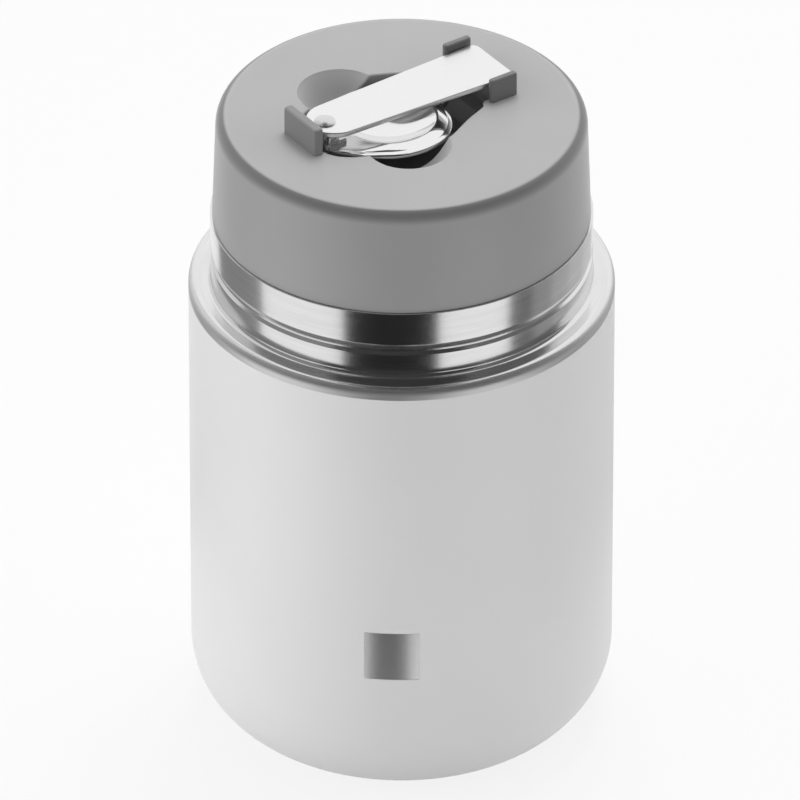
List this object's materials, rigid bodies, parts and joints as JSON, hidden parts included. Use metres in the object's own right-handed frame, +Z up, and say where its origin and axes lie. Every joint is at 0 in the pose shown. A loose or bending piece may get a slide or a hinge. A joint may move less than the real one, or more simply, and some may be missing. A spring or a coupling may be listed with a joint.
{
  "type": "insulated food jar",
  "caption": "Vacuum-insulated steel food jar with a coated body, a bare steel neck, a plastic screw lid and a folding steel spoon clipped into the lid.",
  "frame": {"origin": "centre of the foot ring on the table, on the jar's axis", "axes": "+Z up along the jar's axis; -Y towards the front, with the lid's spoon running from -X -Y to +X +Y"},
  "size_m": [0.1, 0.1, 0.171],
  "materials": {
    "body_coat": "satin white powder coat",
    "neck_steel": "fine circumferential brushing",
    "vessel_steel": "satin drawn stainless steel",
    "base_steel": "spun satin stainless steel",
    "foil": "thin metal foil",
    "getter_metal": "pressed metal powder",
    "seal_glass": "fused sealing bead",
    "lid_plastic": "matte grey moulding",
    "clip_plastic": "matte dark grey moulding",
    "liner_plastic": "satin light grey moulding",
    "foam": "white bead foam",
    "silicone": "soft translucent silicone",
    "spoon_steel": "mirror polished stainless steel",
    "pivot_steel": "polished stainless steel"
  },
  "bodies": {
    "jar": {"outer_shell": "body_coat", "neck_collar": "neck_steel", "inner_vessel": "vessel_steel", "foil_wrap": "foil", "getter_cap": "vessel_steel", "getter": "getter_metal", "base_cup": "base_steel", "seal_plug": "seal_glass", "base_cover": "base_steel"},
    "gasket": {"lid_gasket": "silicone"},
    "lid": {"lid_cover": "lid_plastic", "heel_clip": "clip_plastic", "tip_clip_rear": "clip_plastic", "tip_clip_front": "clip_plastic", "lid_liner": "liner_plastic", "lid_insulation": "foam"},
    "handle": {"spoon_handle": "spoon_steel", "pivot_washer": "pivot_steel", "spoon_rivet": "pivot_steel"},
    "bowl": {"spoon_bowl": "spoon_steel"}
  },
  "joints": [
    {"name": "lid_lift", "type": "slide", "parent": "jar", "child": "gasket", "axis": [0, 0, 1], "range_m": [0, 0.0362]},
    {"name": "lid_turn", "type": "hinge", "parent": "gasket", "child": "lid", "pos_m": [0, 0, 0.14], "axis": [0, 0, 1], "range_deg": [0, 1080]},
    {"name": "spoon_lift", "type": "slide", "parent": "lid", "child": "handle", "axis": [0, 0, 1], "range_m": [0, 0.145]},
    {"name": "spoon_unfold", "type": "hinge", "parent": "handle", "child": "bowl", "pos_m": [-0.01783, -0.01044, 0.165], "axis": [0, 0, 1], "range_deg": [0, 180.5]}
  ],
  "couplings": [
    {"joint": "lid_lift", "follows": "lid_turn", "m_per_rad": 0.0019099},
    {"joint": "spoon_unfold", "follows": "spoon_lift", "rad_per_m": 21.666}
  ]
}
